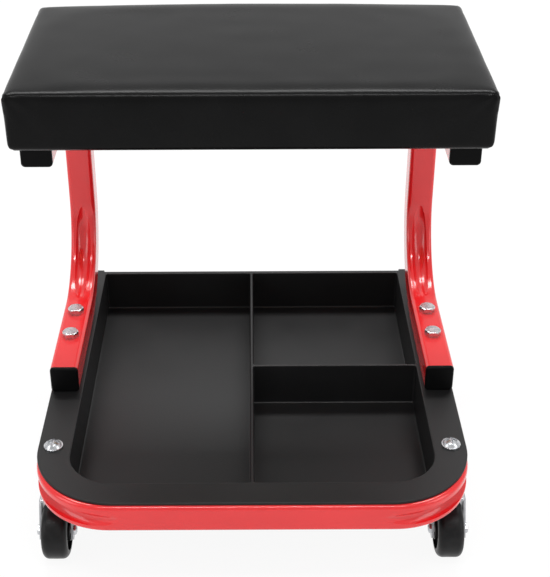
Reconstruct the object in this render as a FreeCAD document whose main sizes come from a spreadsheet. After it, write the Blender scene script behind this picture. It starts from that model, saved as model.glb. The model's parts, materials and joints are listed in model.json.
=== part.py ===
"""Rolling workshop stool: bent square tube frame, moulded tool tray, padded seat and four casters.

Millimetres. The origin is on the floor below the middle of the frame.
+X is to the sitter's side, +Y runs from the open front to the uprights, +Z is up.
"""
import FreeCAD
import Part
import Sketcher
import math
import os
import re

DIMENSIONS = (
    ("tube_side", 25.0, "outside width of the square tube"),
    ("tube_wall", 1.5, "wall of the square tube"),
    ("tube_round", 3.5, "outside corner radius of the square tube"),
    ("base_width", 360.0, "width over the base tube"),
    ("base_depth", 370.0, "front face of the base to its rear end"),
    ("base_bottom", 70.0, "floor to the underside of the base tube"),
    ("base_bend", 65.0, "outside radius of the front bends"),
    ("crush_radius", 6.5, "radius of the groove pressed into the front bends"),
    ("crush_depth", 7.0, "depth of that groove in mid bend"),
    ("crush_rise", 12.0, "groove above the underside of the base tube"),
    ("leg_crush_radius", 8.0, "radius of the channel pressed into the leg bends"),
    ("leg_crush_depth", 5.0, "depth of that channel in mid bend"),
    ("leg_bend", 85.0, "centre line radius of the leg bends"),
    ("leg_rise", 261.0, "underside of the foot to the top of the rail"),
    ("leg_rear", 364.0, "base front to the rear face of the upright"),
    ("foot_front", 156.0, "base front to the front end of the foot tube"),
    ("rail_front", 127.5, "base front to the front end of the rail tube"),
    ("cap_head", 3.0, "thickness of an end cap's head"),
    ("cap_reach", 12.0, "length of an end cap inside its tube"),
    ("cap_ease", 0.3, "gap between an end cap and the inside of its tube"),
    ("cap_round", 1.8, "rounding of an end cap's front edge"),
    ("flange_thickness", 2.5, "tray flange"),
    ("flange_inset", 3.0, "base front to the flange's front edge"),
    ("flange_lap", 0.5, "flange edge beyond the base tube's sides"),
    ("flange_corner", 70.0, "front corner radius of the flange"),
    ("flange_rear", 370.0, "base front to the rear end of the side flanges"),
    ("rim_rear", 367.0, "base front to the edge of the tray's rear rim"),
    ("tray_gap", 0.5, "gap between tray and base tube"),
    ("tray_wall", 2.5, "wall of the tray"),
    ("tray_depth", 42.0, "flange top to the tray floor"),
    ("tray_floor", 2.0, "thickness of the tray floor"),
    ("tray_corner", 40.0, "outside front corner radius of the tray"),
    ("tray_rear", 362.0, "base front to the inside of the rear wall"),
    ("tray_fillet", 2.0, "upright rounding inside the compartments"),
    ("floor_fillet", 1.6, "rounding between the tray's floor and walls"),
    ("rim_round", 1.1, "rounding of the tray's upper edges"),
    ("divider", 2.5, "thickness of the tray dividers"),
    ("cross_divider", 194.0, "base front to the middle of the cross divider"),
    ("bolt_front", 207.0, "base front to the first leg bolt"),
    ("bolt_rear", 248.0, "base front to the second leg bolt"),
    ("bolt_radius", 4.0, "leg bolt shank"),
    ("bolt_hole", 4.25, "radius of a clearance hole for bolts and caster screws"),
    ("bolt_flats", 13.0, "across flats of the leg bolts and nuts"),
    ("hex_face", 0.47, "radius of a hexagon's turned face over its flats"),
    ("hex_slope", 1.6, "spread of a hexagon's turned corners over its height"),
    ("bolt_head", 5.3, "height of the leg bolt head"),
    ("bolt_tail", 2.0, "thread standing out of a nut"),
    ("nut_height", 6.5, "height of the leg nuts"),
    ("washer_radius", 8.0, "outside radius of the plain washers"),
    ("washer_thickness", 1.6, "thickness of the plain washers"),
    ("screw_head_radius", 7.0, "pan head of the caster screws"),
    ("screw_head", 4.6, "height of that pan head"),
    ("screw_recess", 9.0, "length of the cross recess"),
    ("screw_slot", 1.9, "width of the cross recess"),
    ("screw_reach", 12.0, "screw inside the kingpin"),
    ("caster_front", 75.0, "base front to the front swivel axes"),
    ("caster_rear", 345.0, "base front to the rear swivel axes"),
    ("caster_trail", 21.0, "swivel axis to the axle"),
    ("wheel_radius", 24.5, "caster wheel"),
    ("wheel_width", 22.0, "tread of the caster wheel"),
    ("wheel_round", 5.5, "rounding of the tread's edges"),
    ("hub_width", 24.0, "length of the wheel's hub"),
    ("hub_radius", 9.5, "outside radius of the hub"),
    ("rim_inner", 17.5, "inside radius of the wheel's rim"),
    ("web_recess", 3.0, "depth of the wheel's side recess"),
    ("sleeve_radius", 5.0, "outside radius of the axle sleeve"),
    ("running_gap", 0.05, "radial clearance of a running fit"),
    ("axle_radius", 2.5, "axle bolt shank"),
    ("axle_flats", 8.0, "across flats of the axle bolt and nut"),
    ("axle_head", 2.4, "height of the axle bolt head"),
    ("axle_nut", 2.4, "height of the thin axle nut"),
    ("axle_tail", 0.4, "axle thread standing out of its nut"),
    ("fork_gap", 25.0, "between the fork's cheeks"),
    ("fork_sheet", 1.8, "thickness of the fork's steel"),
    ("fork_crown", 50.0, "floor to the underside of the fork's crown"),
    ("fork_back", 14.5, "swivel axis to the back of the crown"),
    ("fork_front", 16.0, "swivel axis to the front of the crown"),
    ("crown_round", 1.4, "rounding of the bend between crown and cheeks"),
    ("fork_cut", 200.0, "length of a cut right through a fork"),
    ("fork_eye", 8.0, "radius of the cheek round the axle"),
    ("pin_neck", 5.0, "kingpin inside the crown and cup"),
    ("pin_post", 8.0, "kingpin above the cup"),
    ("pin_head", 8.0, "radius of the kingpin's riveted head"),
    ("pin_head_height", 3.0, "height of the riveted head"),
    ("pin_play", 0.3, "crown to riveted head"),
    ("cup_radius", 12.0, "outside of the bearing cup"),
    ("cup_height", 5.0, "height of the bearing cup"),
    ("ball_radius", 1.5, "bearing balls"),
    ("ball_circle", 8.5, "radius of the ring of balls"),
    ("ball_count", 12.0, "balls in one swivel bearing"),
    ("ball_sink", 0.75, "depth of the ball tracks"),
    ("seat_width", 369.0, "seat over the cover"),
    ("seat_depth", 198.0, "seat over the cover, front to back"),
    ("seat_front", 99.0, "base front to the front of the seat"),
    ("seat_height", 49.0, "rail top to the top of the crown"),
    ("seat_crown", 2.5, "rise of the seat's middle over its edges"),
    ("seat_edge", 6.0, "rounding of the seat's upper edges"),
    ("seat_corner", 13.0, "corner radius of the seat in plan"),
    ("seat_bow", 1.5, "how far the sides draw in between the corners"),
    ("seat_tuck", 1.5, "how far the cover draws in at the bottom"),
    ("cover_skin", 1.2, "thickness of the cover"),
    ("cover_return", 30.0, "width of the cover turned under the board"),
    ("board_thickness", 12.0, "seat board"),
    ("board_inset", 6.0, "seat outside to the edge of the board"),
    ("seat_bolt_front", 150.0, "base front to the first seat bolt"),
    ("seat_bolt_rear", 238.0, "base front to the second seat bolt"),
    ("seat_bolt_radius", 3.0, "seat bolt shank"),
    ("seat_bolt_hole", 3.3, "clearance hole for the seat bolts"),
    ("seat_bolt_head", 4.0, "height of the seat bolt head"),
    ("seat_bolt_flats", 10.0, "across flats of the seat bolt head"),
    ("tee_radius", 4.5, "barrel of a tee nut"),
    ("tee_flange", 9.5, "flange radius of a tee nut"),
    ("tee_plate", 1.4, "flange thickness of a tee nut"),
    ("staple_length", 10.0, "crown of a cover staple"),
    ("staple_wire", 0.8, "wire of a cover staple"),
    ("staple_inset", 18.0, "seat outside to the row of staples"),
)

doc = FreeCAD.newDocument("rolling_stool")
sheet = doc.addObject("Spreadsheet::Sheet", "dims")
for row, (alias, amount, meaning) in enumerate(DIMENSIONS, start=1):
    sheet.set("A%d" % row, meaning)
    sheet.set("B%d" % row, "%g" % amount)
    sheet.setAlias("B%d" % row, alias)
doc.recompute()

ALIAS = re.compile(r"\b(%s)\b" % "|".join(row[0] for row in DIMENSIONS))
AXES = ("x", "y", "z")
NODES = []

# Places that several pieces share, as expressions of the sheet's cells.
FRONT = "-base_depth / 2"
SIDE = "(base_width - tube_side) / 2"
BASE_TOP = "base_bottom + tube_side"
FOOT_BOTTOM = "base_bottom + tube_side + flange_thickness"
FOOT_TOP = "base_bottom + 2 * tube_side + flange_thickness"
RAIL_TOP = "base_bottom + tube_side + flange_thickness + leg_rise"
LEG_LINE = "leg_rear - tube_side / 2 - base_depth / 2"
BOARD_BOTTOM = RAIL_TOP + " + cover_skin"
UPRIGHT = FreeCAD.Rotation(FreeCAD.Vector(1, 0, 0), 90)
ALONG_Y = FreeCAD.Rotation(FreeCAD.Vector(1, 1, 1), 120)
ALONG_X = FreeCAD.Rotation(FreeCAD.Vector(0, 1, 0), 90)
HALF_TURN = FreeCAD.Rotation(FreeCAD.Vector(0, 0, 1), 180)
SIDES = (("left", -1), ("right", 1))
TOLERANCE = 0.01
SQUARE = 0.5


def size(alias):
    """The number in one cell."""
    return float(sheet.get(alias))


def cells(expression):
    """An expression with the sheet's name put before each alias."""
    return ALIAS.sub(r"dims.\1", expression)


def bind(item, **expressions):
    """Bind properties of an object to expressions of the sheet's cells."""
    for prop, expression in expressions.items():
        item.setExpression(prop, cells(expression))
    return item


def place(item, x="0", y="0", z="0", turn=None):
    """Turn an object, then bind its place to the sheet's cells."""
    if turn is not None:
        item.Placement = FreeCAD.Placement(FreeCAD.Vector(), turn)
    for axis, expression in zip(AXES, (x, y, z)):
        item.setExpression("Placement.Base." + axis, cells(expression))
    return item


def primitive(kind, name, turn=None, at=("0", "0", "0"), **expressions):
    """A Part primitive with bound sizes and a bound place."""
    item = bind(doc.addObject("Part::" + kind, name), **expressions)
    return place(item, *at, turn=turn)


def cut(name, base, tool):
    """Base less tool."""
    item = doc.addObject("Part::Cut", name)
    item.Base = base
    item.Tool = tool
    return item


def group(name, pieces):
    """Separate solids kept together in one object."""
    item = doc.addObject("Part::Compound", name)
    item.Links = pieces
    return item


def keep(item, label):
    """Name a finished piece and list it for writing."""
    item.Label = label
    NODES.append(item)
    return item


def fix(sketch, geometry, corner, x, y):
    """Hold one point of a sketch at bound coordinates."""
    for kind, expression in (("DistanceX", x), ("DistanceY", y)):
        if expression == "0":
            axis = -2 if kind == "DistanceX" else -1
            sketch.addConstraint(Sketcher.Constraint("PointOnObject", geometry, corner, axis))
            continue
        point = sketch.getPoint(geometry, corner)
        here = point.x if kind == "DistanceX" else point.y
        index = sketch.addConstraint(Sketcher.Constraint(kind, -1, 1, geometry, corner, here))
        sketch.setExpression("Constraints[%d]" % index, cells(expression))


def worth(expression):
    """The value of an expression of the sheet's cells."""
    return float(sheet.evalExpression(expression))


def polygon(sketch, corners):
    """A closed outline of straight lines through bound corners."""
    points = [FreeCAD.Vector(worth(x), worth(y), 0) for x, y in corners]
    for index, point in enumerate(points):
        sketch.addGeometry(Part.LineSegment(point, points[(index + 1) % len(points)]))
    for index in range(len(points)):
        following = (index + 1) % len(points)
        sketch.addConstraint(Sketcher.Constraint("Coincident", index, 2, following, 1))
    for index, (x, y) in enumerate(corners):
        fix(sketch, index, 1, x, y)
    return sketch


def circles(sketch, rounds):
    """Circles with bound centres and radii."""
    for x, y, radius in rounds:
        centre = FreeCAD.Vector(worth(x), worth(y), 0)
        circle = Part.Circle(centre, FreeCAD.Vector(0, 0, 1), worth(radius))
        index = sketch.addGeometry(circle)
        fix(sketch, index, 3, x, y)
        held = sketch.addConstraint(Sketcher.Constraint("Radius", index, worth(radius)))
        sketch.setExpression("Constraints[%d]" % held, cells(radius))
    return sketch


def rounded_square(sketch, width, radius):
    """A centred square with round corners."""
    half = worth(width) / 2
    bend = worth(radius)
    flat = half - bend
    ends = ((-flat, -half, flat, -half), (half, -flat, half, flat),
            (flat, half, -flat, half), (-half, flat, -half, -flat))
    centres = ((flat, -flat), (flat, flat), (-flat, flat), (-flat, -flat))
    for x1, y1, x2, y2 in ends:
        sketch.addGeometry(Part.LineSegment(FreeCAD.Vector(x1, y1, 0), FreeCAD.Vector(x2, y2, 0)))
    for quarter, (x, y) in enumerate(centres):
        circle = Part.Circle(FreeCAD.Vector(x, y, 0), FreeCAD.Vector(0, 0, 1), bend)
        start = (quarter - 1) * math.pi / 2
        sketch.addGeometry(Part.ArcOfCircle(circle, start, start + math.pi / 2))
    for line in range(4):
        arc = line + 4
        sketch.addConstraint(Sketcher.Constraint("Tangent", line, 2, arc, 1))
        sketch.addConstraint(Sketcher.Constraint("Tangent", arc, 2, (line + 1) % 4, 1))
    for line, way in enumerate(("Horizontal", "Vertical", "Horizontal", "Vertical")):
        sketch.addConstraint(Sketcher.Constraint(way, line))
    for arc in (5, 6, 7):
        sketch.addConstraint(Sketcher.Constraint("Equal", 4, arc))
    sketch.addConstraint(Sketcher.Constraint("Symmetric", 4, 3, 6, 3, -1, 1))
    bounds = (("Radius", (4,), bend, radius),
              ("DistanceX", (3, 1, 1, 1), 2 * half, width),
              ("DistanceY", (0, 1, 2, 1), 2 * half, width))
    for kind, where, value, expression in bounds:
        index = sketch.addConstraint(Sketcher.Constraint(kind, *where, value))
        sketch.setExpression("Constraints[%d]" % index, cells(expression))
    return sketch


def tangent_path(sketch, points, radius):
    """Straight runs joined by tangent arcs; the first and last points are the ends."""
    bend = worth(radius)
    corners = [FreeCAD.Vector(worth(x), worth(y), 0) for x, y in points]
    runs = []
    start = corners[0]
    arcs = []
    for before, corner, after in zip(corners, corners[1:], corners[2:]):
        inward = (before - corner).normalize()
        outward = (after - corner).normalize()
        middle = corner + (inward + outward) * bend
        runs.append((start, corner + inward * bend))
        arcs.append((middle, corner + inward * bend, corner + outward * bend, inward.cross(outward).z))
        start = corner + outward * bend
    runs.append((start, corners[-1]))
    for first, last in runs:
        sketch.addGeometry(Part.LineSegment(first, last))
    for index, (middle, first, last, turn) in enumerate(arcs):
        if turn > 0:
            first, last = last, first
        begin = math.atan2(first.y - middle.y, first.x - middle.x)
        end = math.atan2(last.y - middle.y, last.x - middle.x)
        circle = Part.Circle(middle, FreeCAD.Vector(0, 0, 1), bend)
        arc = sketch.addGeometry(Part.ArcOfCircle(circle, begin, end))
        near, far = (2, 1) if turn > 0 else (1, 2)
        sketch.addConstraint(Sketcher.Constraint("Tangent", index, 2, arc, near))
        sketch.addConstraint(Sketcher.Constraint("Tangent", arc, far, index + 1, 1))
        held = sketch.addConstraint(Sketcher.Constraint("Radius", arc, bend))
        sketch.setExpression("Constraints[%d]" % held, cells(radius))
    for index, (first, last) in enumerate(runs):
        level = abs(first.y - last.y) < abs(first.x - last.x)
        sketch.addConstraint(Sketcher.Constraint("Horizontal" if level else "Vertical", index))
    last_run = len(runs) - 1
    fix(sketch, 0, 1, *points[0])
    fix(sketch, last_run, 2, *points[-1])
    middle_run = 1
    first, last = runs[middle_run]
    kind, here, expression = "DistanceX", first.x, points[middle_run][0]
    if abs(first.y - last.y) < abs(first.x - last.x):
        kind, here, expression = "DistanceY", first.y, points[middle_run][1]
    held = sketch.addConstraint(Sketcher.Constraint(kind, -1, 1, middle_run, 1, here))
    sketch.setExpression("Constraints[%d]" % held, cells(expression))
    return sketch


def bent_tube(name, path, section_at):
    """Outside and inside of a bent square tube, swept along one path."""
    sweeps = []
    walls = (("outside", "tube_side", "tube_round"),
             ("inside", "tube_side - 2 * tube_wall", "tube_round - tube_wall"))
    for wall, width, radius in walls:
        section = doc.addObject("Sketcher::SketchObject", "%s_%s_section" % (name, wall))
        rounded_square(section, width, radius)
        place(section, *section_at, turn=UPRIGHT)
        sweep = doc.addObject("Part::Sweep", "%s_%s" % (name, wall))
        sweep.Sections = [section]
        sweep.Spine = (path, [])
        sweep.Solid = True
        sweep.Frenet = False
        sweeps.append(sweep)
    return sweeps


def crushed(name, walls, rings):
    """A hollow tube whose walls are pressed in along rings; the wall keeps its thickness."""
    solids = []
    for wall, extra in zip(walls, ("0", "tube_wall")):
        tools = []
        for number, (major, minor, at, turn, sweep_angle) in enumerate(rings):
            ring = primitive("Torus", "%s_ring_%d" % (wall.Name, number), turn=turn, at=at,
                             Radius1=major, Radius2="%s + %s" % (minor, extra))
            ring.Angle3 = sweep_angle
            tools.append(ring)
        solids.append(cut(wall.Name + "_pressed", wall, group(wall.Name + "_rings", tools)))
    return cut(name + "_tube", *solids)


def drilled(name, solid, holes):
    """A solid with upright round holes; each hole is x, y, lower z, length and radius."""
    drills = []
    for number, (x, y, z, length, radius) in enumerate(holes):
        drills.append(primitive("Cylinder", "%s_drill_%d" % (name, number), at=(x, y, z),
                                Radius=radius, Height=length))
    return cut(name + "_drilled", solid, group(name + "_drills", drills))


def upright(edge):
    """True for an edge that runs straight up."""
    return edge.BoundBox.XLength < TOLERANCE and edge.BoundBox.YLength < TOLERANCE


def level_at(edge, height):
    """True for an edge that lies at one height."""
    return abs(edge.BoundBox.ZMin - height) < TOLERANCE and abs(edge.BoundBox.ZMax - height) < TOLERANCE


def body_sketch(body, role, lift="0"):
    """A sketch on one of a body's own planes, lifted along its normal."""
    plane = next(item for item in body.Origin.OriginFeatures if item.Role == role)
    sketch = body.newObject("Sketcher::SketchObject", body.Name + "_sketch")
    sketch.AttachmentSupport = [(plane, "")]
    sketch.MapMode = "FlatFace"
    sketch.setExpression("AttachmentOffset.Base.z", cells(lift))
    return sketch


def feature(body, kind, sketch, **expressions):
    """A feature made from a sketch, with bound sizes."""
    item = body.newObject("PartDesign::" + kind, body.Name + "_" + kind.lower())
    item.Profile = sketch
    bind(item, **expressions)
    return item


def pocketed(body, sketch, **expressions):
    """A pocket that is known to have removed material."""
    doc.recompute()
    before = body.Shape.Volume
    item = feature(body, "Pocket", sketch, **expressions)
    doc.recompute()
    if body.Shape.Volume >= before:
        item.Reversed = not item.Reversed
        doc.recompute()
    if body.Shape.Volume >= before:
        raise RuntimeError(body.Label + ": a pocket removes nothing")
    return item


def dressed(body, kind, chosen, **expressions):
    """A fillet or chamfer on the edges that a test picks."""
    doc.recompute()
    tip = body.Tip
    names = ["Edge%d" % number for number, edge in enumerate(tip.Shape.Edges, start=1) if chosen(edge)]
    if not names:
        raise RuntimeError(body.Label + ": no edge to round")
    item = body.newObject("PartDesign::" + kind, body.Name + "_" + kind.lower())
    item.Base = (tip, names)
    bind(item, **expressions)
    doc.recompute()
    return item


def turned(name, corners):
    """A body of revolution about Z from a half section of radius and height."""
    body = doc.addObject("PartDesign::Body", name)
    sketch = polygon(body_sketch(body, "XZ_Plane"), corners)
    spin = feature(body, "Revolution", sketch)
    spin.ReferenceAxis = (sketch, ["V_Axis"])
    spin.Angle = 360
    return body


def washer(name, at, hole):
    """A plain washer standing on its place."""
    disc = primitive("Cylinder", name + "_disc", at=at, Radius="washer_radius", Height="washer_thickness")
    bore = primitive("Cylinder", name + "_bore", at=at, Radius=hole, Height="washer_thickness")
    return cut(name, disc, bore)


def hexagon(name, at, flats, height, turn=None):
    """A hexagon with its corners turned down at the top."""
    prism = primitive("Prism", name + "_prism", at=at, turn=turn,
                      Circumradius="%s / sqrt(3)" % flats, Height=height)
    prism.Polygon = 6
    cone = primitive("Cone", name + "_cone", at=at, turn=turn, Height=height,
                     Radius1="%s / 2 + hex_slope * %s" % (flats, height), Radius2="hex_face * %s" % flats)
    crown = doc.addObject("Part::Common", name)
    crown.Base = prism
    crown.Tool = cone
    return crown


def joined(name, pieces):
    """Several solids fused into one."""
    item = doc.addObject("Part::MultiFuse", name)
    item.Shapes = pieces
    item.Refine = True
    return item


def along(distance):
    """A place behind the base's front face, as a Y expression."""
    return "%s - base_depth / 2" % distance


# Base frame: one tube bent to a U, open at the rear. Both front bends are pressed in on the outside.
base_path = doc.addObject("Sketcher::SketchObject", "base_path")
base_end = "base_depth / 2 - cap_head"
front_line = FRONT + " + tube_side / 2"
tangent_path(base_path, (("-(%s)" % SIDE, base_end), ("-(%s)" % SIDE, front_line),
                         (SIDE, front_line), (SIDE, base_end)), "base_bend - tube_side / 2")
place(base_path, z="base_bottom + tube_side / 2")
base_walls = bent_tube("base", base_path, ("-(%s)" % SIDE, base_end, "base_bottom + tube_side / 2"))
crush_shift = "crush_depth / (1 - sqrt(1 / 2))"
base_rings = []
for name, sign in SIDES:
    ring_x = "%d * (base_width / 2 - base_bend - (%s) * sqrt(1 / 2))" % (sign, crush_shift)
    ring_y = "base_bend - base_depth / 2 + (%s) * sqrt(1 / 2)" % crush_shift
    start = 180 if sign < 0 else 270
    base_rings.append(("base_bend + crush_radius - crush_depth + " + crush_shift, "crush_radius",
                       (ring_x, ring_y, "base_bottom + crush_rise"),
                       FreeCAD.Rotation(FreeCAD.Vector(0, 0, 1), start), 90))
base_holes = []
for name, sign in SIDES:
    for distance in ("caster_front", "caster_rear", "bolt_front", "bolt_rear"):
        hole_x = "%d * (%s)" % (sign, SIDE)
        base_holes.append((hole_x, along(distance), "base_bottom", "tube_side", "bolt_hole"))
keep(drilled("base", crushed("base", base_walls, base_rings), base_holes), "base_frame")

# Legs: each is one tube bent to a C, foot below, rail above, pressed in on the inside of its bends.
leg_shift = "leg_crush_depth / (1 - sqrt(1 / 2))"
ring_middle = LEG_LINE + " - leg_bend + (%s) * sqrt(1 / 2)" % leg_shift
low_ring = FOOT_BOTTOM + " + tube_side / 2 + leg_bend - (%s) * sqrt(1 / 2)" % leg_shift
high_ring = RAIL_TOP + " - tube_side / 2 - leg_bend + (%s) * sqrt(1 / 2)" % leg_shift
ring_major = "leg_bend - tube_side / 2 - leg_crush_radius + leg_crush_depth - " + leg_shift
RING_SWEEP = 120
for name, sign in SIDES:
    leg_x = "%d * (%s)" % (sign, SIDE)
    foot_line = FOOT_BOTTOM + " + tube_side / 2"
    rail_line = RAIL_TOP + " - tube_side / 2"
    path = doc.addObject("Sketcher::SketchObject", name + "_leg_path")
    tangent_path(path, ((along("foot_front"), foot_line), (LEG_LINE, foot_line),
                        (LEG_LINE, rail_line), (along("rail_front"), rail_line)), "leg_bend")
    place(path, x=leg_x, turn=ALONG_Y)
    walls = bent_tube(name + "_leg", path, (leg_x, along("foot_front"), foot_line))
    rings = []
    for middle, first in ((low_ring, -45 - RING_SWEEP / 2), (high_ring, 45 - RING_SWEEP / 2)):
        turn = ALONG_Y.multiply(FreeCAD.Rotation(FreeCAD.Vector(0, 0, 1), first))
        rings.append((ring_major, "leg_crush_radius", (leg_x, ring_middle, middle), turn, RING_SWEEP))
    holes = [(leg_x, along(distance), FOOT_BOTTOM, "tube_side", "bolt_hole")
             for distance in ("bolt_front", "bolt_rear")]
    holes += [(leg_x, along(distance), RAIL_TOP + " - tube_side", "tube_side", "seat_bolt_hole")
              for distance in ("seat_bolt_front", "seat_bolt_rear")]
    keep(drilled(name + "_leg", crushed(name + "_leg", walls, rings), holes), name + "_leg")


# End caps: a flat rounded head and a plug inside the tube.
def end_cap(label, at, turn=None):
    body = doc.addObject("PartDesign::Body", label)
    head = rounded_square(body_sketch(body, "XZ_Plane"), "tube_side", "tube_round")
    feature(body, "Pad", head, Length="cap_head")
    plug_width = "tube_side - 2 * tube_wall - 2 * cap_ease"
    plug = rounded_square(body_sketch(body, "XZ_Plane"), plug_width, "tube_round - tube_wall")
    feature(body, "Pad", plug, Length="cap_reach").Reversed = True
    face = -size("cap_head")
    dressed(body, "Fillet", lambda edge: abs(edge.CenterOfMass.y - face) < TOLERANCE, Radius="cap_round")
    keep(place(body, *at, turn=turn), label)


for name, sign in SIDES:
    leg_x = "%d * (%s)" % (sign, SIDE)
    end_cap(name + "_foot_cap", (leg_x, along("foot_front"), FOOT_BOTTOM + " + tube_side / 2"))
    end_cap(name + "_rail_cap", (leg_x, along("rail_front"), RAIL_TOP + " - tube_side / 2"))
    end_cap(name + "_base_cap", (leg_x, base_end, "base_bottom + tube_side / 2"), HALF_TURN)


# Tool tray: a flange lying on the base tube and a tub hanging between its sides, in three compartments.
def tool_tray():
    body = doc.addObject("PartDesign::Body", "tray")
    wide = "base_width / 2 + flange_lap"
    tub = "base_width / 2 - tube_side - tray_gap"
    edge = FRONT + " + flange_inset"
    rear = along("flange_rear")
    rim = along("rim_rear")
    flange = polygon(body_sketch(body, "XY_Plane", BASE_TOP), (
        ("-(%s)" % wide, edge), (wide, edge), (wide, rear), (tub, rear),
        (tub, rim), ("-(%s)" % tub, rim), ("-(%s)" % tub, rear), ("-(%s)" % wide, rear)))
    feature(body, "Pad", flange, Length="flange_thickness")
    tub_front = FRONT + " + tube_side + tray_gap"
    tub_rear = along("tray_rear + tray_wall")
    block = polygon(body_sketch(body, "XY_Plane", BASE_TOP), (
        ("-(%s)" % tub, tub_front), (tub, tub_front), (tub, tub_rear), ("-(%s)" % tub, tub_rear)))
    drop = feature(body, "Pad", block, Length="tray_depth + tray_floor - flange_thickness")
    drop.Reversed = True
    inner = tub + " - tray_wall"
    near = tub_front + " + tray_wall"
    far = along("tray_rear")
    split = along("cross_divider")
    rooms = (("-(%s)" % inner, "-divider / 2", near, far),
             ("divider / 2", inner, near, split + " - divider / 2"),
             ("divider / 2", inner, split + " + divider / 2", far))
    for low_x, high_x, low_y, high_y in rooms:
        room = polygon(body_sketch(body, "XY_Plane", FOOT_BOTTOM), (
            (low_x, low_y), (high_x, low_y), (high_x, high_y), (low_x, high_y)))
        pocketed(body, room, Length="tray_depth")
    reach = worth(inner)
    mouth = worth(near)
    top = worth(FOOT_BOTTOM)
    floor = top - size("tray_depth")

    def front_corner(edge, half, front):
        middle = edge.CenterOfMass
        beside = abs(abs(middle.x) - half) < TOLERANCE
        return upright(edge) and beside and abs(middle.y - front) < TOLERANCE

    def room_corner(edge):
        full = abs(edge.BoundBox.ZLength - size("tray_depth")) < TOLERANCE
        return upright(edge) and full and sharp(body, edge)

    corners = ((reach, mouth, "tray_corner - tray_wall"), (worth(wide), worth(edge), "flange_corner"),
               (worth(tub), worth(tub_front), "tray_corner"))
    for half, front, radius in corners:
        dressed(body, "Fillet", lambda side: front_corner(side, half, front), Radius=radius)
    dressed(body, "Fillet", room_corner, Radius="tray_fillet")
    dressed(body, "Fillet", lambda side: level_at(side, floor), Radius="floor_fillet")
    dressed(body, "Fillet", lambda side: level_at(side, top), Radius="rim_round")
    holes = []
    for name, sign in SIDES:
        for distance in ("caster_front", "caster_rear", "bolt_front", "bolt_rear"):
            holes.append(("%d * (%s)" % (sign, SIDE), along(distance), "bolt_hole"))
    drill = circles(body_sketch(body, "XY_Plane", FOOT_BOTTOM), holes)
    pocketed(body, drill, Length="flange_thickness")
    keep(body, "tool_tray")


def sharp(body, edge):
    """True where the two faces beside an edge meet at an angle."""
    faces = body.Tip.Shape.ancestorsOfType(edge, Part.Face)
    first, second = (face.normalAt(*face.Surface.parameter(edge.CenterOfMass)) for face in faces)
    return abs(first.dot(second)) < SQUARE


tool_tray()

# Leg bolts: two through each foot, the flange and the base tube, each with a washer and nut below.
bolts, washers, nuts = [], [], []
nut_bottom = "base_bottom - washer_thickness - nut_height"
for name, sign in SIDES:
    for distance in ("bolt_front", "bolt_rear"):
        spot = "%s_%s" % (name, distance)
        x, y = "%d * (%s)" % (sign, SIDE), along(distance)
        head = hexagon(spot + "_head", (x, y, FOOT_TOP), "bolt_flats", "bolt_head")
        tail = nut_bottom + " - bolt_tail"
        shank = primitive("Cylinder", spot + "_shank", at=(x, y, tail), Radius="bolt_radius",
                          Height="%s - (%s)" % (FOOT_TOP, tail))
        bolts.append(joined(spot, [head, shank]))
        washers.append(washer(spot + "_washer", (x, y, "base_bottom - washer_thickness"), "bolt_hole"))
        bore = primitive("Cylinder", spot + "_thread", at=(x, y, nut_bottom), Radius="bolt_radius",
                         Height="nut_height")
        nuts.append(cut(spot + "_nut", hexagon(spot + "_hex", (x, y, nut_bottom), "bolt_flats",
                                               "nut_height"), bore))
keep(group("leg_bolts", bolts), "leg_bolts")
keep(group("leg_washers", washers), "leg_washers")
keep(group("leg_nuts", nuts), "leg_nuts")

# Caster screws: cross-recessed pan heads that pull each kingpin up against the base tube.
screws, screw_washers = [], []
head_bottom = FOOT_BOTTOM + " + washer_thickness"
for name, sign in SIDES:
    for distance in ("caster_front", "caster_rear"):
        spot = "%s_%s" % (name, distance)
        x, y = "%d * (%s)" % (sign, SIDE), along(distance)
        screw_washers.append(washer(spot + "_washer", (x, y, FOOT_BOTTOM), "bolt_hole"))
        tail = "base_bottom - screw_reach"
        shank = primitive("Cylinder", spot + "_shank", at=(x, y, tail), Radius="bolt_radius",
                          Height="%s - (%s)" % (head_bottom, tail))
        disc = primitive("Cylinder", spot + "_disc", at=(x, y, head_bottom),
                         Radius="screw_head_radius", Height="screw_head")
        dome_radius = "(screw_head_radius ^ 2 + screw_head ^ 2) / (2 * screw_head)"
        dome = primitive("Sphere", spot + "_dome", Radius=dome_radius,
                         at=(x, y, "%s + screw_head - %s" % (head_bottom, dome_radius)))
        head = doc.addObject("Part::Common", spot + "_head")
        head.Base = disc
        head.Tool = dome
        slots = []
        for long_way, short_way in (("screw_recess", "screw_slot"), ("screw_slot", "screw_recess")):
            slot_at = ("%s - %s / 2" % (x, long_way), "%s - %s / 2" % (y, short_way),
                       head_bottom + " + screw_head / 2")
            slots.append(primitive("Box", spot + "_slot", at=slot_at, Length=long_way, Width=short_way,
                                   Height="screw_head"))
        recessed = cut(spot + "_recessed", head, group(spot + "_cross", slots))
        screws.append(joined(spot + "_screw", [recessed, shank]))
keep(group("caster_screws", screws), "caster_screws")
keep(group("screw_washers", screw_washers), "screw_washers")


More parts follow.
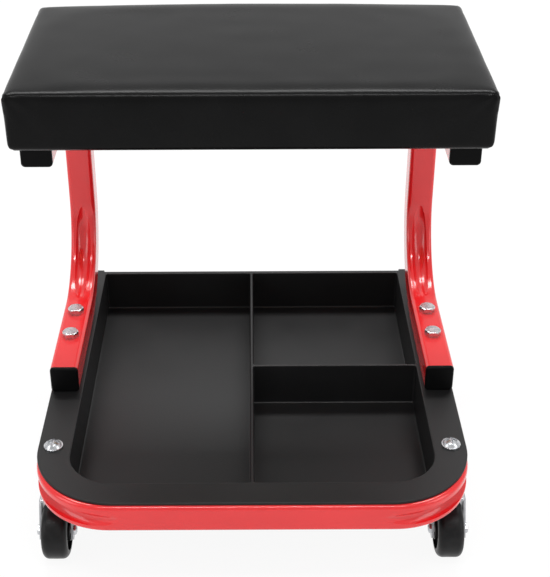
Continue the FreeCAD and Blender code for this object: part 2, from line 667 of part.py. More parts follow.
# Caster: a fork that swivels on balls round a kingpin, and a wheel on a sleeve between its cheeks.
def fork(name, at):
    body = doc.addObject("PartDesign::Body", name + "_stamping")
    wide = "fork_gap + 2 * fork_sheet"
    axle = "-caster_trail"
    crown_top = "fork_crown + fork_sheet"
    cheek_low = "wheel_radius - fork_eye"
    side = polygon(body_sketch(body, "YZ_Plane"), (
        ("fork_back", crown_top), ("fork_back", "fork_crown - 2 * fork_sheet"),
        (axle + " + fork_eye", cheek_low + " + fork_eye / 2"), (axle + " + fork_eye / 2", cheek_low),
        (axle + " - fork_eye / 2", cheek_low), (axle + " - fork_eye", cheek_low + " + fork_eye / 2"),
        ("-fork_front", "fork_crown - 2 * fork_sheet"), ("-fork_front", crown_top)))
    feature(body, "Pad", side, Length=wide).SideType = "Symmetric"
    slot = polygon(body_sketch(body, "XZ_Plane"), (
        ("-fork_gap / 2", "0"), ("fork_gap / 2", "0"),
        ("fork_gap / 2", "fork_crown"), ("-fork_gap / 2", "fork_crown")))
    trench = pocketed(body, slot, Length="fork_cut")
    trench.SideType = "Symmetric"
    top = worth(crown_top)
    half = worth(wide) / 2

    def crown_corner(edge, end):
        outer = abs(abs(edge.CenterOfMass.x) - half) < TOLERANCE
        return upright(edge) and outer and abs(edge.CenterOfMass.y - end) < TOLERANCE

    def crown_rim(edge):
        return level_at(edge, top) and edge.BoundBox.YLength > 1

    for end, radius in ((size("fork_back"), "fork_eye"), (-size("fork_front"), "crown_round")):
        dressed(body, "Fillet", lambda edge: crown_corner(edge, end), Radius=radius)
    dressed(body, "Fillet", crown_rim, Radius="crown_round")
    hole = circles(body_sketch(body, "XY_Plane", crown_top), (("0", "0", "pin_neck + running_gap"),))
    pocketed(body, hole, Length="2 * fork_sheet")
    eye = circles(body_sketch(body, "YZ_Plane"), ((axle, "wheel_radius", "axle_radius + running_gap"),))
    pocketed(body, eye, Length="fork_cut").SideType = "Symmetric"
    place(body, *at)
    track = primitive("Torus", name + "_track", Radius1="ball_circle", Radius2="ball_radius",
                      at=(at[0], at[1], crown_top + " - ball_sink + ball_radius"))
    keep(cut(name + "_fork_tracked", body, track), name + "_fork")


def caster(name, sign, y):
    """One caster, trailing towards the front, its axle bolt's head outwards."""
    x = "%d * (%s)" % (sign, SIDE)
    crown_top = "fork_crown + fork_sheet"
    ball_line = crown_top + " - ball_sink + ball_radius"
    cup_bottom = ball_line + " + ball_radius - ball_sink"
    cup_top = cup_bottom + " + cup_height"
    head_top = "fork_crown - pin_play"
    head_low = head_top + " - pin_head_height"
    pin = turned(name + "_pin", (
        ("0", head_low), ("pin_head", head_low), ("pin_head", head_top), ("pin_neck", head_top),
        ("pin_neck", cup_top), ("pin_post", cup_top), ("pin_post", "base_bottom"),
        ("bolt_radius", "base_bottom"), ("bolt_radius", "base_bottom - screw_reach"),
        ("0", "base_bottom - screw_reach")))
    keep(place(pin, x, y), name + "_kingpin")
    cup = turned(name + "_cup", (
        ("pin_neck", cup_bottom), ("cup_radius", cup_bottom), ("cup_radius", cup_top), ("pin_neck", cup_top)))
    place(cup, x, y)
    track = primitive("Torus", name + "_cup_track", Radius1="ball_circle", at=(x, y, ball_line),
                      Radius2="ball_radius + running_gap")
    keep(cut(name + "_cup_tracked", cup, track), name + "_bearing_cup")
    balls = []
    count = int(size("ball_count"))
    for number in range(count):
        turn = "%d * 360 / ball_count" % number
        balls.append(primitive("Sphere", "%s_ball_%d" % (name, number), Radius="ball_radius", at=(
            "%s + ball_circle * cos(%s)" % (x, turn), "%s + ball_circle * sin(%s)" % (y, turn), ball_line)))
    keep(group(name + "_balls", balls), name + "_bearing_balls")
    fork(name, (x, y, "0"))
    axle_y = y + " - caster_trail"
    cheek = "fork_gap / 2 + fork_sheet"
    sleeve = turned(name + "_sleeve", (
        ("axle_radius", "-fork_gap / 2"), ("sleeve_radius", "-fork_gap / 2"),
        ("sleeve_radius", "fork_gap / 2"), ("axle_radius", "fork_gap / 2")))
    keep(place(sleeve, x, axle_y, "wheel_radius", turn=ALONG_X), name + "_axle_sleeve")
    wheel = turned(name + "_wheel", (
        ("sleeve_radius + running_gap", "-hub_width / 2"), ("hub_radius", "-hub_width / 2"),
        ("hub_radius", "web_recess - wheel_width / 2"), ("rim_inner", "web_recess - wheel_width / 2"),
        ("rim_inner", "-wheel_width / 2"), ("wheel_radius", "-wheel_width / 2"),
        ("wheel_radius", "wheel_width / 2"), ("rim_inner", "wheel_width / 2"),
        ("rim_inner", "wheel_width / 2 - web_recess"), ("hub_radius", "wheel_width / 2 - web_recess"),
        ("hub_radius", "hub_width / 2"), ("sleeve_radius + running_gap", "hub_width / 2")))
    rim = size("wheel_radius")

    def tread_edge(edge):
        return edge.BoundBox.XLength > 2 * rim - TOLERANCE and edge.BoundBox.ZLength < TOLERANCE

    dressed(wheel, "Fillet", tread_edge, Radius="wheel_round")
    keep(place(wheel, x, axle_y, "wheel_radius", turn=ALONG_X), name + "_wheel")
    outward = FreeCAD.Rotation(FreeCAD.Vector(0, 1, 0), 90 * sign)
    inward = FreeCAD.Rotation(FreeCAD.Vector(0, 1, 0), -90 * sign)
    head_at = ("%s + %d * (%s)" % (x, sign, cheek), axle_y, "wheel_radius")
    nut_at = ("%s - %d * (%s)" % (x, sign, cheek), axle_y, "wheel_radius")
    head = hexagon(name + "_axle_head", head_at, "axle_flats", "axle_head", turn=outward)
    shank = primitive("Cylinder", name + "_axle_shank", turn=inward, at=head_at, Radius="axle_radius",
                      Height="2 * (%s) + axle_nut + axle_tail" % cheek)
    keep(joined(name + "_axle", [head, shank]), name + "_axle_bolt")
    hexed = hexagon(name + "_nut_hex", nut_at, "axle_flats", "axle_nut", turn=inward)
    bore = primitive("Cylinder", name + "_nut_bore", turn=inward, at=nut_at, Radius="axle_radius",
                     Height="axle_nut")
    keep(cut(name + "_nut", hexed, bore), name + "_axle_nut")


for end, distance in (("front", "caster_front"), ("rear", "caster_rear")):
    for name, sign in SIDES:
        caster("%s_%s" % (end, name), sign, along(distance))


# Seat: a vinyl cover drawn over foam and turned under a plywood board.
BOW_AT_BOARD = 0.4
BOW_ABOVE_BOARD = 0.6
TUCK_ABOVE_BOARD = 0.2
LEAST_BOW = 0.05
LEAST_CORNER = 4
EDGE_STEPS = (30, 60, 90)
CROWN_STEPS = (0.3, 0.6, 0.85)


def outline(half_x, half_y, corner, bow, z):
    """A closed plan outline: four shallow arcs that draw in, and four corner arcs."""
    flat_x = half_x - corner
    flat_y = half_y - corner
    lean = corner * math.sqrt(0.5)
    edges = []
    for quarter in range(4):
        turn = FreeCAD.Rotation(FreeCAD.Vector(0, 0, 1), 90 * quarter)
        across, far = (half_x, flat_y) if quarter % 2 == 0 else (half_y, flat_x)
        stretch = (FreeCAD.Vector(across, -far, z), FreeCAD.Vector(across - bow, 0, z),
                   FreeCAD.Vector(across, far, z))
        bend = (FreeCAD.Vector(across, far, z),
                FreeCAD.Vector(across - corner + lean, far + lean, z),
                FreeCAD.Vector(across - corner, far + corner, z))
        for first, middle, last in (stretch, bend):
            edges.append(Part.Arc(*(turn.multVec(point) for point in (first, middle, last))).toShape())
    return Part.Wire(edges)


def cushion(skin):
    """The stuffed form: tucked in below, drawn in at the sides, round-edged and crowned on top."""
    half_x = size("seat_width") / 2 - skin
    half_y = size("seat_depth") / 2 - skin
    low = worth(RAIL_TOP) + skin
    top = worth(RAIL_TOP) + size("seat_height") - skin
    edge = size("seat_edge")
    corner = size("seat_corner")
    bow = size("seat_bow")
    shoulder = top - size("seat_crown") - edge
    tuck = size("seat_tuck")
    levels = [(low, tuck, bow * BOW_AT_BOARD), (low + edge, tuck * TUCK_ABOVE_BOARD, bow * BOW_ABOVE_BOARD),
              ((low + shoulder) / 2, 0, bow), (shoulder, 0, bow)]
    for degrees in EDGE_STEPS:
        angle = math.radians(degrees)
        draw = bow * (1 - math.sin(angle)) + LEAST_BOW
        levels.append((shoulder + edge * math.sin(angle), edge * (1 - math.cos(angle)), draw))
    span = half_y - edge
    for share in CROWN_STEPS:
        rise = size("seat_crown") * (1 - (1 - share) ** 2)
        levels.append((shoulder + edge + rise, edge + share * span, LEAST_BOW))
    wires = []
    for z, inset, draw in levels:
        bend = max(corner - inset / 2, LEAST_CORNER)
        bend = min(bend, (half_y - inset) / 2)
        wires.append(outline(half_x - inset, half_y - inset, bend, draw, z))
    form = Part.makeLoft(wires, True, True)
    form.translate(FreeCAD.Vector(0, seat_middle, 0))
    return form


seat_middle = size("seat_front") + size("seat_depth") / 2 - size("base_depth") / 2
board_low = worth(BOARD_BOTTOM)
board_x = size("seat_width") - 2 * size("board_inset")
board_y = size("seat_depth") - 2 * size("board_inset")
board_block = Part.makeBox(board_x, board_y, size("board_thickness"),
                           FreeCAD.Vector(-board_x / 2, seat_middle - board_y / 2, board_low))
board_block = board_block.makeFillet(size("seat_corner") - size("board_inset"), [
    edge for edge in board_block.Edges if edge.BoundBox.ZLength > 1])

tee_places = []
for name, sign in SIDES:
    for distance in ("seat_bolt_front", "seat_bolt_rear"):
        tee_places.append((name + "_" + distance, "%d * (%s)" % (sign, SIDE), along(distance)))

form = doc.addObject("Part::Feature", "board_form")
form.Shape = board_block
board_holes = [(x, y, BOARD_BOTTOM, "board_thickness", "tee_radius") for spot, x, y in tee_places]
keep(drilled("board", form, board_holes), "seat_board")

bolts, washers, tees, pockets, openings = [], [], [], [], []
rail_bottom = RAIL_TOP + " - tube_side"
for spot, x, y in tee_places:
    head_top = rail_bottom + " - washer_thickness"
    washers.append(washer(spot + "_washer", (x, y, head_top), "seat_bolt_hole"))
    upside = FreeCAD.Rotation(FreeCAD.Vector(1, 0, 0), 180)
    head = hexagon(spot + "_head", (x, y, head_top), "seat_bolt_flats", "seat_bolt_head", turn=upside)
    shank = primitive("Cylinder", spot + "_shank", at=(x, y, head_top), Radius="seat_bolt_radius",
                      Height="tube_side + washer_thickness + cover_skin + board_thickness")
    bolts.append(joined(spot, [head, shank]))
    barrel = primitive("Cylinder", spot + "_barrel", at=(x, y, BOARD_BOTTOM), Radius="tee_radius",
                       Height="board_thickness")
    plate_z = BOARD_BOTTOM + " + board_thickness"
    plate = primitive("Cylinder", spot + "_plate", at=(x, y, plate_z), Radius="tee_flange",
                      Height="tee_plate")
    thread = primitive("Cylinder", spot + "_thread", at=(x, y, BOARD_BOTTOM), Radius="seat_bolt_radius",
                       Height="board_thickness + tee_plate")
    tees.append(cut(spot + "_tee", joined(spot + "_tee_solid", [barrel, plate]), thread))
    pockets.append((x, y, plate_z, "tee_plate", "tee_flange"))
    openings.append((x, y, RAIL_TOP, "cover_skin", "tee_radius"))
keep(group("seat_bolts", bolts), "seat_bolts")
keep(group("seat_washers", washers), "seat_washers")
keep(group("tee_nuts", tees), "tee_nuts")

foam = doc.addObject("Part::Feature", "foam_form")
foam.Shape = cushion(size("cover_skin")).cut(board_block)
keep(drilled("foam", foam, pockets), "seat_foam")

cover = doc.addObject("Part::Feature", "cover_form")
mouth_x = size("seat_width") - 2 * size("cover_return")
mouth_y = size("seat_depth") - 2 * size("cover_return")
mouth = Part.makeBox(mouth_x, mouth_y, size("cover_skin"),
                     FreeCAD.Vector(-mouth_x / 2, seat_middle - mouth_y / 2, worth(RAIL_TOP)))
cover.Shape = cushion(0).cut(cushion(size("cover_skin"))).cut(mouth)
keep(drilled("cover", cover, openings), "seat_cover")

# Staples: short wires across the cover's turned edge, in rows along the front and back.
STAPLES_IN_ROW = 9
staples = []
for number in range(STAPLES_IN_ROW):
    share = number / (STAPLES_IN_ROW - 1) - 0.5
    middle = "%g * (seat_width - 2 * cover_return - 2 * tube_side)" % share
    for row, sign in (("front", -1), ("rear", 1)):
        depth = "seat_front + seat_depth / 2 - base_depth / 2 + %d * (seat_depth / 2 - staple_inset)" % sign
        staples.append(primitive(
            "Box", "staple_%s_%d" % (row, number), Length="staple_length", Width="staple_wire",
            Height="staple_wire",
            at=("%s - staple_length / 2" % middle, depth, RAIL_TOP + " - staple_wire")))
keep(group("seat_staples", staples), "seat_staples")

doc.recompute()
for item in doc.Objects:
    if "Invalid" in item.State or "Error" in item.State:
        raise RuntimeError("%s failed to build" % item.Label)
for item in NODES:
    if item.Shape.isNull() or not item.Shape.isValid():
        raise RuntimeError("%s has no sound shape" % item.Label)

os.makedirs("parts", exist_ok=True)
for item in NODES:
    item.Shape.exportStep(os.path.join("parts", item.Label + ".step"))
    print("%-26s %2d solids %12.1f mm3" % (item.Label, len(item.Shape.Solids), item.Shape.Volume))
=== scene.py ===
import json
import math

import bmesh
import bpy
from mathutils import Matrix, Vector, noise

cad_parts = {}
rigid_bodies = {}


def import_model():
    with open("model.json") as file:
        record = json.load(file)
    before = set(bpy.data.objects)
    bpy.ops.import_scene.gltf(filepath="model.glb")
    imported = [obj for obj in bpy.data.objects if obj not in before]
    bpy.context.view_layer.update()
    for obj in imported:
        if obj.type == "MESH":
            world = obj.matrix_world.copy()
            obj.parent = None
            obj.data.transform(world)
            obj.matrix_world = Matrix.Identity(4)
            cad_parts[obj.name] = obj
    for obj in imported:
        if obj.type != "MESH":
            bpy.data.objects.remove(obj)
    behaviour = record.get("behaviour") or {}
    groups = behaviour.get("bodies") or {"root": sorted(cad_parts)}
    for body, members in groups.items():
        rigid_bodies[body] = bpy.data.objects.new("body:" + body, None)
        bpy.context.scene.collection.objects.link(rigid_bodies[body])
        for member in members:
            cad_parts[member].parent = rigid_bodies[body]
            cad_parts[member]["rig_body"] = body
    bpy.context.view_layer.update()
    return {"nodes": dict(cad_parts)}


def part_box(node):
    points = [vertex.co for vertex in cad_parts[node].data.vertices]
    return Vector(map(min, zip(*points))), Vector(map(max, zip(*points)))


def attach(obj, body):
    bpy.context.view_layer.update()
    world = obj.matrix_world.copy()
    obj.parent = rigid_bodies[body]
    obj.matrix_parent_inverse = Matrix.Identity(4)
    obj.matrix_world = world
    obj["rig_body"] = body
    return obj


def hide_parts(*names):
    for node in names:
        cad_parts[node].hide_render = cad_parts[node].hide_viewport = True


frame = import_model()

# Base tube: one length of square steel tube bent to a U, its outer walls pressed in at the two
# front bends. It is powder coated in gloss red; the coat lies slightly uneven, like orange peel.

RED = (0.70, 0.0110, 0.014)
RED_DEEP = (0.64, 0.0080, 0.0105)
TINT_SCALE = 11
GLOSS_SCALE = 60
PEEL_SCALE = 420
PEEL_DEPTH = 0.00005
WELD = 0.00001
ROUND_BELOW = math.radians(32)


class Flow:
    """A value in a finish: arithmetic on it adds Math nodes, and node() adds any other kind."""

    def __init__(self, tree, socket=None):
        self.tree = tree
        self.socket = socket

    def node(self, kind, settings, sockets, output=0):
        made = self.tree.nodes.new(kind)
        for name, setting in settings.items():
            if name == "stops":
                for stop, (place, shade) in zip(made.color_ramp.elements, setting):
                    stop.position = place
                    stop.color = (shade, shade, shade, 1)
            else:
                setattr(made, name, setting)
        for name, given in sockets.items():
            if isinstance(given, Flow):
                self.tree.links.new(given.socket, made.inputs[name])
            else:
                made.inputs[name].default_value = given
        return Flow(self.tree, made.outputs[output] if len(made.outputs) else None)

    def maths(self, operation, first, second):
        return self.node("ShaderNodeMath", {"operation": operation}, {0: first, 1: second})

    def __add__(self, other):
        return self.maths("ADD", self, other)

    def __radd__(self, other):
        return self.maths("ADD", other, self)

    def __mul__(self, other):
        return self.maths("MULTIPLY", self, other)

    def __rmul__(self, other):
        return self.maths("MULTIPLY", other, self)


def new_finish(name, constants):
    """A material with these constants on its shader, and the piece's own coordinates to pattern it."""
    material = bpy.data.materials.new(name)
    material.use_nodes = True
    shader = material.node_tree.nodes["Principled BSDF"]
    for socket, value in constants.items():
        shader.inputs[socket].default_value = value
    place = Flow(material.node_tree).node("ShaderNodeTexCoord", {}, {}, "Object")
    return material, shader, place


def mottle(place, scale, detail=3.0):
    return place.node("ShaderNodeTexNoise", {}, {"Vector": place, "Scale": scale, "Detail": detail})


def stretched(place, scale):
    return place.node("ShaderNodeMapping", {}, {"Vector": place, "Scale": scale})


def contrast(value, low, high):
    return value.node("ShaderNodeValToRGB", {"stops": ((low, 0), (high, 1))}, {"Fac": value})


def two_tone(mask, dark, light):
    return mask.node("ShaderNodeMix", {"data_type": "RGBA"}, {0: mask, 6: (*dark, 1), 7: (*light, 1)}, 2)


def relief(height, depth):
    return height.node("ShaderNodeBump", {}, {"Height": height, "Distance": depth})


def feed(shader, **flows):
    for name, flow in flows.items():
        flow.tree.links.new(flow.socket, shader.inputs[name.replace("_", " ")])


def alone(piece):
    bpy.ops.object.select_all(action="DESELECT")
    piece.select_set(True)
    bpy.context.view_layer.objects.active = piece


def applied(piece, kind, settings):
    modifier = piece.modifiers.new(kind.title(), kind)
    for name, setting in settings.items():
        setattr(modifier, name, setting)
    bpy.ops.object.modifier_apply(modifier=modifier.name)


def worked(node, ending, material):
    """The solid of one node with its facets welded and shaded round, in its finish and in its place."""
    source = frame["nodes"][node]
    piece = bpy.data.objects.new(node + ending, source.data.copy())
    bpy.context.collection.objects.link(piece)
    alone(piece)
    bpy.ops.mesh.customdata_custom_splitnormals_clear()
    bpy.ops.object.mode_set(mode="EDIT")
    bpy.ops.mesh.select_all(action="SELECT")
    bpy.ops.mesh.remove_doubles(threshold=WELD)
    bpy.ops.object.mode_set(mode="OBJECT")
    bpy.ops.object.shade_smooth_by_angle(angle=ROUND_BELOW)
    applied(piece, "WEIGHTED_NORMAL", {"keep_sharp": True})
    piece.data.materials.clear()
    piece.data.materials.append(material)
    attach(piece, source["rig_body"])
    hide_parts(node)


powder_coat, coat_shader, at = new_finish(
    "red_powder_coat", {"Coat Weight": 0.45, "Coat Roughness": 0.05})
tint = mottle(at, TINT_SCALE)
peel = mottle(at, PEEL_SCALE, 2.0)
feed(coat_shader,
     Base_Color=two_tone(contrast(tint, 0.3, 0.7), RED_DEEP, RED),
     Roughness=0.15 + 0.08 * mottle(at, GLOSS_SCALE),
     Normal=relief(peel, PEEL_DEPTH))
worked("base_frame", "_coated", powder_coat)

# Legs: two lengths of the same tube, each bent to a C with a foot, an upright and a rail under the
# seat. They are coated as the base is, and bolted down through it.

for side in ("left", "right"):
    worked(side + "_leg", "_coated", powder_coat)

# End caps: plugs moulded in black plastic and pressed into the open ends of the tubes. Their heads
# have a satin face with the faint grain of the mould.

CAP_BLACK = (0.0018, 0.0018, 0.0019)
CAP_GREY = (0.0032, 0.0032, 0.0034)
CAP_CLOUD = 140
CAP_SATIN = 300
CAP_GRAIN = 1500
CAP_GRAIN_DEPTH = 0.00003

cap_plastic, cap_shader, at = new_finish("cap_plastic", {"Specular IOR Level": 0.07})
grain = mottle(at, CAP_GRAIN, 2.0)
feed(cap_shader,
     Base_Color=two_tone(mottle(at, CAP_CLOUD), CAP_BLACK, CAP_GREY),
     Roughness=0.36 + 0.14 * mottle(at, CAP_SATIN),
     Normal=relief(grain, CAP_GRAIN_DEPTH))
for end in ("foot", "rail", "base"):
    for side in ("left", "right"):
        worked("%s_%s_cap" % (side, end), "_moulded", cap_plastic)

# Tool tray: one moulding in black plastic with three compartments and a flange that lies on the
# base tube. The mould gives it a fine leathery grain, with a faint haze here and there.

TRAY_BLACK = (0.0052, 0.0051, 0.0055)
TRAY_GREY = (0.0076, 0.0074, 0.0079)
TRAY_HAZE = 22
TRAY_GRAIN = 900
TRAY_GRAIN_DEPTH = 0.00006

tray_plastic, tray_shader, at = new_finish("tray_plastic", {"Specular IOR Level": 0.36})
cells = at.node("ShaderNodeTexVoronoi", {"feature": "SMOOTH_F1"},
                {"Vector": at, "Scale": TRAY_GRAIN, "Smoothness": 0.6})
haze = mottle(at, TRAY_HAZE, 4.0)
feed(tray_shader,
     Base_Color=two_tone(contrast(haze, 0.35, 0.7), TRAY_BLACK, TRAY_GREY),
     Roughness=0.40 + 0.12 * haze,
     Normal=relief(cells, TRAY_GRAIN_DEPTH))
worked("tool_tray", "_moulded", tray_plastic)

# Bolts, nuts, washers and screws: bright zinc on steel. The plating is a little cloudy, and finely
# marked from the tumbling drum.

ZINC = (0.70, 0.71, 0.73)
ZINC_CLOUD = (0.50, 0.51, 0.53)
CLOUD_SCALE = 260
MARK_SCALE = 900
MARK_STRETCH = (1, 6, 1)
MARK_DEPTH = 0.00002

zinc, zinc_shader, at = new_finish("bright_zinc", {"Metallic": 1.0})
cloud = mottle(at, CLOUD_SCALE, 4.0)
marks = mottle(stretched(at, MARK_STRETCH), MARK_SCALE, 2.0)
feed(zinc_shader,
     Base_Color=two_tone(contrast(cloud, 0.3, 0.7), ZINC_CLOUD, ZINC),
     Roughness=0.18 + 0.18 * cloud,
     Normal=relief(marks, MARK_DEPTH))
for fastener in ("leg_bolts", "leg_washers", "leg_nuts", "caster_screws", "screw_washers",
                 "seat_bolts", "seat_washers", "tee_nuts", "seat_staples"):
    worked(fastener, "_plated", zinc)

# Casters: a pressed fork in dull zinc turns on a bearing of bright balls below the base tube, and a
# black moulded wheel runs in it on a sleeve and an axle bolt.

FORK_ZINC = (0.58, 0.585, 0.60)
FORK_CLOUD = (0.40, 0.41, 0.43)
SPANGLE_SCALE = 220
DRAWN_SCALE = 260
DRAWN_STRETCH = (1, 1, 9)
DRAWN_DEPTH = 0.00003
BEARING_STEEL = (0.55, 0.55, 0.56)
BEARING_OIL = (0.36, 0.35, 0.34)
OIL_SCALE = 180
WHEEL_BLACK = (0.0055, 0.0055, 0.0060)
WHEEL_SCUFF = (0.0110, 0.0110, 0.0115)
SCUFF_SCALE = 190
WHEEL_GRAIN = 1100
WHEEL_GRAIN_DEPTH = 0.00004

fork_zinc, fork_shader, at = new_finish("fork_zinc", {"Metallic": 1.0})
spangle = at.node("ShaderNodeTexVoronoi", {}, {"Vector": at, "Scale": SPANGLE_SCALE})
drawn = mottle(stretched(at, DRAWN_STRETCH), DRAWN_SCALE)
feed(fork_shader,
     Base_Color=two_tone(spangle, FORK_ZINC, FORK_CLOUD),
     Roughness=0.30 + 0.16 * drawn,
     Normal=relief(drawn, DRAWN_DEPTH))

bearing_steel, bearing_shader, at = new_finish("bearing_steel", {"Metallic": 1.0})
oil = mottle(at, OIL_SCALE)
feed(bearing_shader,
     Base_Color=two_tone(contrast(oil, 0.35, 0.65), BEARING_OIL, BEARING_STEEL),
     Roughness=0.20 + 0.16 * oil)

wheel_plastic, wheel_shader, at = new_finish("wheel_plastic", {"Specular IOR Level": 0.22})
scuff = contrast(mottle(at, SCUFF_SCALE, 5.0), 0.45, 0.75)
feed(wheel_shader,
     Base_Color=two_tone(scuff, WHEEL_BLACK, WHEEL_SCUFF),
     Roughness=0.34 + 0.18 * scuff,
     Normal=relief(mottle(at, WHEEL_GRAIN, 2.0), WHEEL_GRAIN_DEPTH))

caster_finishes = {
    "kingpin": fork_zinc, "fork": fork_zinc, "axle_bolt": zinc, "axle_nut": zinc,
    "bearing_cup": bearing_steel, "bearing_balls": bearing_steel, "axle_sleeve": bearing_steel,
    "wheel": wheel_plastic,
}
for end in ("front", "rear"):
    for side in ("left", "right"):
        for part, finish in caster_finishes.items():
            worked("%s_%s_%s" % (end, side, part), "_finished", finish)

# Seat board: raw plywood under the padding, seen only from below. The face veneer runs along the
# seat, with darker bands of late wood.

PLY_PALE = (0.52, 0.37, 0.21)
PLY_DARK = (0.34, 0.21, 0.105)
BAND_SCALE = 1.6
BAND_STRETCH = (3, 55, 55)
PORE_STRETCH = (40, 900, 900)
PORE_DEPTH = 0.00012

plywood, ply_shader, at = new_finish("raw_plywood", {"Specular IOR Level": 0.2})
bands = mottle(stretched(at, BAND_STRETCH), BAND_SCALE, 6.0)
pores = mottle(stretched(at, PORE_STRETCH), 1.0)
feed(ply_shader,
     Base_Color=two_tone(contrast(bands, 0.35, 0.68), PLY_DARK, PLY_PALE),
     Roughness=0.62 + 0.2 * pores,
     Normal=relief(pores, PORE_DEPTH))
worked("seat_board", "_raw", plywood)

# Seat cushion: black vinyl drawn tight over foam, folded in at the corners and stapled under the
# board. The foam swells it, so the top is crowned, highest at the back, and its upper edge is soft.

VINYL_BLACK = (0.0022, 0.0022, 0.0023)
VINYL_GREY = (0.0034, 0.0034, 0.0035)
STRETCH_SCALE = 30
PEBBLE_SCALE = 1150
PORE_SCALE = 2600
PEBBLE_DEPTH = 0.00005
EASE = 0.0006
TAPER = 0.0008
CORNER = 0.002
CORNER_STEPS = 5
UPPER_EDGE = 0.0045
EDGE_STEPS = 4
VOXEL = 0.0028
ROUNDING = 3
PRESSURE = 0.3
STEPS = 20
CROWN = 0.0020
PINNED = 0.006
BACK_RISE = 0.0030
BACK_CROWN = 0.0025
FOLD = 0.0010
FOLD_REACH = 0.026
FOLD_DROP = 0.012
FOLD_WAVES = 5.5
FOLD_START = 0.4
RIPPLE = 0.00014
RIPPLE_SCALE = Vector((38, 38, 14))
BOTTOM_BAND = 0.0006
COVER_RETURN = 0.030
BOARD_SHOWS = 0.0014
COVER_ROUND_BELOW = math.radians(50)


def picked(kind, test):
    """Selects, in edit mode, the vertices, edges or faces of which every corner passes a test."""
    shape = bmesh.from_edit_mesh(bpy.context.object.data)
    bpy.ops.mesh.select_all(action="DESELECT")
    for item in getattr(shape, kind):
        corners = [item] if kind == "verts" else item.verts
        if all(test(corner.co) for corner in corners):
            item.select_set(True)
    shape.select_flush_mode()
    bmesh.update_edit_mesh(bpy.context.object.data)


low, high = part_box("seat_cover")
middle = (low + high) / 2
size = high - low
top = high.z - CROWN
bpy.ops.object.select_all(action="DESELECT")
bpy.ops.mesh.primitive_cube_add(size=1, location=(middle.x, middle.y, (low.z + top) / 2))
cushion = bpy.context.object
cushion.name = "seat_cushion"
cushion.scale = (size.x + 2 * EASE, size.y + 2 * EASE, top - low.z)
bpy.ops.object.transform_apply(location=True, rotation=False, scale=True)

bpy.ops.object.mode_set(mode="EDIT")
bpy.context.tool_settings.mesh_select_mode = (True, True, True)
picked("verts", lambda co: co.z < middle.z)
bpy.ops.transform.resize(value=(1 - 2 * TAPER / size.x, 1 - 2 * TAPER / size.y, 1))
shape = bmesh.from_edit_mesh(cushion.data)
bpy.ops.mesh.select_all(action="DESELECT")
for edge in shape.edges:
    ends = [vertex.co.z > middle.z for vertex in edge.verts]
    edge.select_set(ends[0] != ends[1])
bmesh.update_edit_mesh(cushion.data)
bpy.ops.mesh.bevel(offset=CORNER, segments=CORNER_STEPS, affect="EDGES")
picked("edges", lambda co: co.z > top - WELD)
bpy.ops.mesh.bevel(offset=UPPER_EDGE, segments=EDGE_STEPS, affect="EDGES")
bpy.ops.object.mode_set(mode="OBJECT")
applied(cushion, "REMESH", {"mode": "VOXEL", "voxel_size": VOXEL})
applied(cushion, "SMOOTH", {"factor": 0.5, "iterations": ROUNDING})

stapled = cushion.vertex_groups.new(name="stapled")
stapled.add([v.index for v in cushion.data.vertices if v.co.z < low.z + PINNED], 1.0, "REPLACE")
cloth = cushion.modifiers.new("Cloth", "CLOTH")
cloth.settings.use_pressure = True
cloth.settings.uniform_pressure_force = PRESSURE
cloth.settings.vertex_group_mass = stapled.name
cloth.settings.effector_weights.gravity = 0
cloth.point_cache.frame_end = STEPS
for step in range(1, STEPS + 1):
    bpy.context.scene.frame_set(step)
bpy.ops.object.modifier_apply(modifier=cloth.name)
bpy.context.scene.frame_set(1)
cushion.vertex_groups.clear()
applied(cushion, "SUBSURF", {"levels": 1, "render_levels": 1})

# The cover is folded in at the four corners: soft creases run down and inwards from each of them,
# its faces have slow ripples from the pull of the staples, and its back edge is lifted by the foam.
corners = [Vector((x, y, high.z)) for x in (low.x, high.x) for y in (low.y, high.y)]
normals = [vertex.normal.copy() for vertex in cushion.data.vertices]
for vertex, normal in zip(cushion.data.vertices, normals):
    if vertex.co.z < low.z + PINNED:
        continue
    place = vertex.co
    move = RIPPLE * noise.noise(place * RIPPLE_SCALE)
    across = min(abs(place.x - middle.x) / (size.x / 2), 1)
    back = min(max((place.y - low.y) / size.y, 0), 1)
    height = (place.z - low.z) / size.z
    lift = Vector((0, 0, (BACK_RISE + BACK_CROWN * (1 - across ** 2)) * back * height))
    for corner in corners:
        away = place - corner
        drop = max(-away.z, 0)
        angle = math.atan2(drop, math.hypot(away.x, away.y))
        near = math.exp(-(away.length / FOLD_REACH) ** 2) * min(drop / FOLD_DROP, 1)
        move -= FOLD * near * math.sin(FOLD_WAVES * angle - FOLD_START) ** 2
    vertex.co = place + normal * move + lift
for vertex in cushion.data.vertices:
    if vertex.co.z < low.z + BOTTOM_BAND:
        vertex.co.z = low.z

alone(cushion)
bpy.ops.object.mode_set(mode="EDIT")
mouth = (low.x + COVER_RETURN, high.x - COVER_RETURN, low.y + COVER_RETURN, high.y - COVER_RETURN)
for place, way in (((mouth[0], 0, 0), (1, 0, 0)), ((mouth[1], 0, 0), (1, 0, 0)),
                   ((0, mouth[2], 0), (0, 1, 0)), ((0, mouth[3], 0), (0, 1, 0))):
    picked("faces", lambda co: co.z < low.z + WELD)
    bpy.ops.mesh.bisect(plane_co=place, plane_no=way)
picked("faces", lambda co: (co.z < low.z + WELD and mouth[0] - WELD < co.x < mouth[1] + WELD
                            and mouth[2] - WELD < co.y < mouth[3] + WELD))
bpy.ops.mesh.extrude_region_move(TRANSFORM_OT_translate={"value": (0, 0, BOARD_SHOWS)})
bpy.ops.object.mode_set(mode="OBJECT")
bpy.ops.object.shade_smooth_by_angle(angle=COVER_ROUND_BELOW)

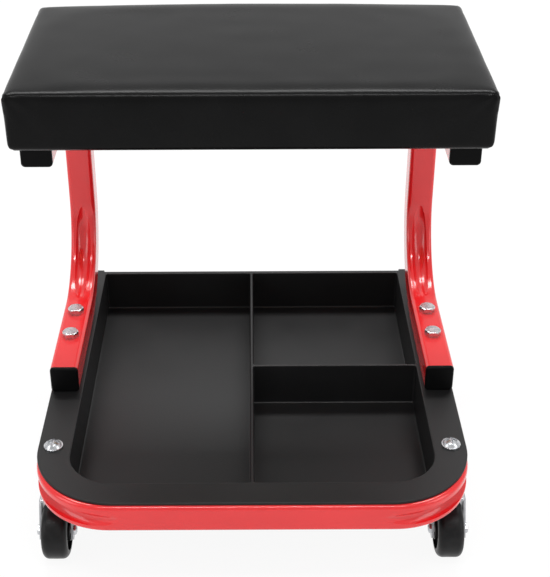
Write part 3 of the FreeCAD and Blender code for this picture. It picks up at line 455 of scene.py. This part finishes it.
vinyl, vinyl_shader, at = new_finish("black_vinyl", {"Specular IOR Level": 0.10})
pebble = at.node("ShaderNodeTexVoronoi", {"feature": "SMOOTH_F1"},
                 {"Vector": at, "Scale": PEBBLE_SCALE, "Smoothness": 0.5})
stretch = mottle(at, STRETCH_SCALE, 4.0)
feed(vinyl_shader,
     Base_Color=two_tone(contrast(stretch, 0.3, 0.7), VINYL_BLACK, VINYL_GREY),
     Roughness=0.22 + 0.08 * stretch,
     Normal=relief(pebble + 0.4 * mottle(at, PORE_SCALE, 2.0), PEBBLE_DEPTH))
cushion.data.materials.append(vinyl)
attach(cushion, "frame")
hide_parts("seat_cover", "seat_foam")

# Studio: a wide pale floor that keeps the stool's shadow, a pale room, a strip light overhead, soft
# lights behind and at each side, and the camera above and in front of the stool.

FLOOR_SIZE = 14
FLOOR_CELLS = 4
FLOOR_WHITE = (0.92, 0.92, 0.92, 1)
FLOOR_GLOW = 0.92
ROOM_LIGHT = 0.68
AIMED_AT = Vector((0, 0, 0.2))
LENS = 76.74
SENSOR = 36
CAMERA_PLACE = (0, -0.9314, 0.7492)
CAMERA_TILT = math.radians(90 - 29.93)
CAMERA_ROLL = math.radians(-0.25)
SHIFT = (0.0409, -0.0460)


def rays_seen(tree):
    """1 for what the camera sees, directly or in metal and glass, and 0 for what lights the stool."""
    path = Flow(tree).node("ShaderNodeLightPath", {}, {})
    outputs = path.socket.node.outputs
    camera, glossy, through = [Flow(tree, outputs[name]) for name in
                               ("Is Camera Ray", "Is Glossy Ray", "Is Transmission Ray")]
    return camera + glossy + through


bpy.ops.object.select_all(action="DESELECT")
bpy.ops.mesh.primitive_grid_add(x_subdivisions=FLOOR_CELLS, y_subdivisions=FLOOR_CELLS, size=FLOOR_SIZE)
floor = bpy.context.object
floor.name = "studio_floor"
floor_paint = bpy.data.materials.new("floor_paint")
floor_paint.use_nodes = True
tree = floor_paint.node_tree
tree.nodes.remove(tree.nodes["Principled BSDF"])
seen = rays_seen(tree)
matt = seen.node("ShaderNodeBsdfDiffuse", {}, {"Color": FLOOR_WHITE})
glow = seen.node("ShaderNodeEmission", {}, {"Color": (1, 1, 1, 1), "Strength": 1.0})
mixed = seen.node("ShaderNodeMixShader", {}, {0: FLOOR_GLOW * seen, 1: matt, 2: glow})
tree.links.new(mixed.socket, tree.nodes["Material Output"].inputs["Surface"])
floor.data.materials.append(floor_paint)

room = bpy.data.worlds.new("pale_room")
room.use_nodes = True
room.node_tree.nodes["Background"].inputs["Color"].default_value = (1, 1, 1, 1)
room.node_tree.nodes["Background"].inputs["Strength"].default_value = ROOM_LIGHT
bpy.context.scene.world = room

for name, place, width, height, power in (
        ("overhead", (0, -0.8, 2.0), 1.2, 0.12, 14),
        ("high_behind", (0, 0.85, 2.0), 1.8, 0.4, 34),
        ("behind", (0, 2.0, 0.85), 3.0, 0.9, 2),
        ("left_side", (-1.5, -0.7, 0.9), 0.7, 1.1, 5),
        ("right_side", (1.5, -0.7, 0.9), 0.7, 1.1, 5)):
    lamp = bpy.data.lights.new(name, "AREA")
    lamp.shape = "RECTANGLE"
    lamp.size = width
    lamp.size_y = height
    lamp.energy = power
    holder = bpy.data.objects.new(name, lamp)
    holder.location = place
    holder.rotation_euler = (AIMED_AT - Vector(place)).to_track_quat("-Z", "Y").to_euler()
    bpy.context.collection.objects.link(holder)

lens = bpy.data.cameras.new("front_camera")
lens.lens = LENS
lens.sensor_width = SENSOR
lens.shift_x, lens.shift_y = SHIFT
camera = bpy.data.objects.new("front_camera", lens)
camera.location = CAMERA_PLACE
camera.rotation_mode = "ZYX"
camera.rotation_euler = (CAMERA_TILT, 0, CAMERA_ROLL)
bpy.context.collection.objects.link(camera)
bpy.context.scene.camera = camera
bpy.context.scene.view_settings.view_transform = "Standard"
